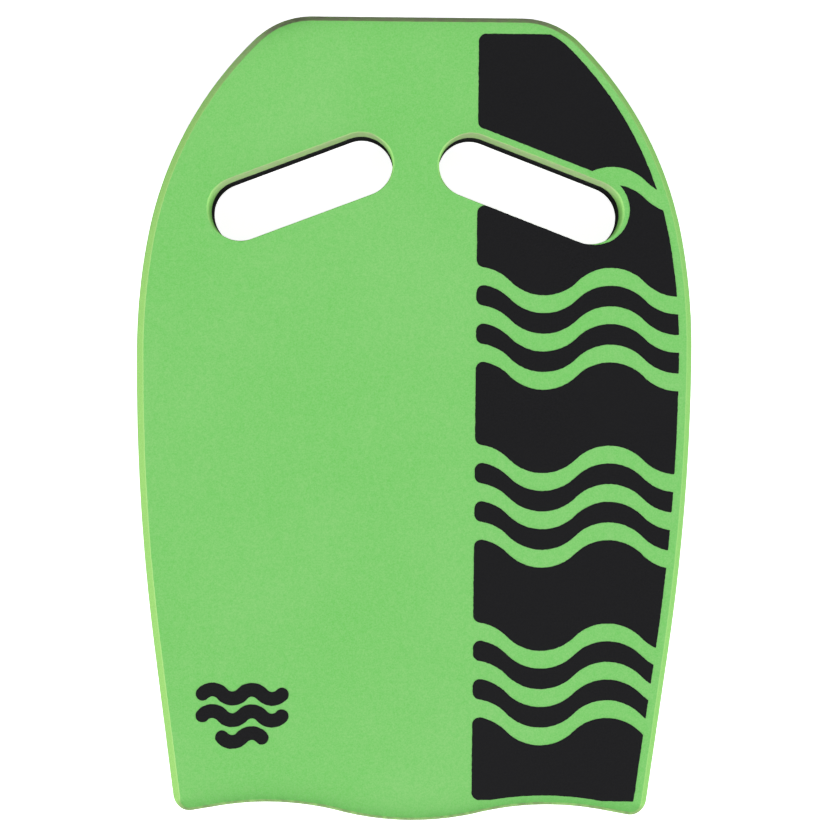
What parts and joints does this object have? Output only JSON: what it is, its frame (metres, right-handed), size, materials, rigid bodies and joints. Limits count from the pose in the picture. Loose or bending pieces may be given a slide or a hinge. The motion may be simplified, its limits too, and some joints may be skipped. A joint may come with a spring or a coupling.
{
  "type": "kickboard",
  "caption": "Flat laminated foam swimming kickboard with rounded nose, waved tail, two slanted through hand slots and printed wave bands on the deck.",
  "frame": {"origin": "under the middle of the board's box, on the face that it rests on", "axes": "+Z out of the printed deck, +Y towards the nose, +X to the printed side"},
  "size_m": [0.2976, 0.43, 0.0342],
  "materials": {
    "green_foam": "matte, closed-cell EVA foam with a fine skin",
    "black_foam": "matte, closed-cell EVA foam",
    "adhesive": "satin contact adhesive",
    "black_print": "matte transfer film"
  },
  "bodies": {
    "root": {"deck_foam": "green_foam", "base_foam": "black_foam", "bond_film": "adhesive", "side_print_1": "black_print", "side_print_2": "black_print", "side_print_3": "black_print", "side_print_4": "black_print", "side_print_5": "black_print", "side_print_6": "black_print", "side_print_7": "black_print", "side_print_8": "black_print", "side_print_9": "black_print", "side_print_10": "black_print", "side_print_11": "black_print", "corner_mark_1": "black_print", "corner_mark_2": "black_print", "corner_mark_3": "black_print"}
  },
  "joints": []
}
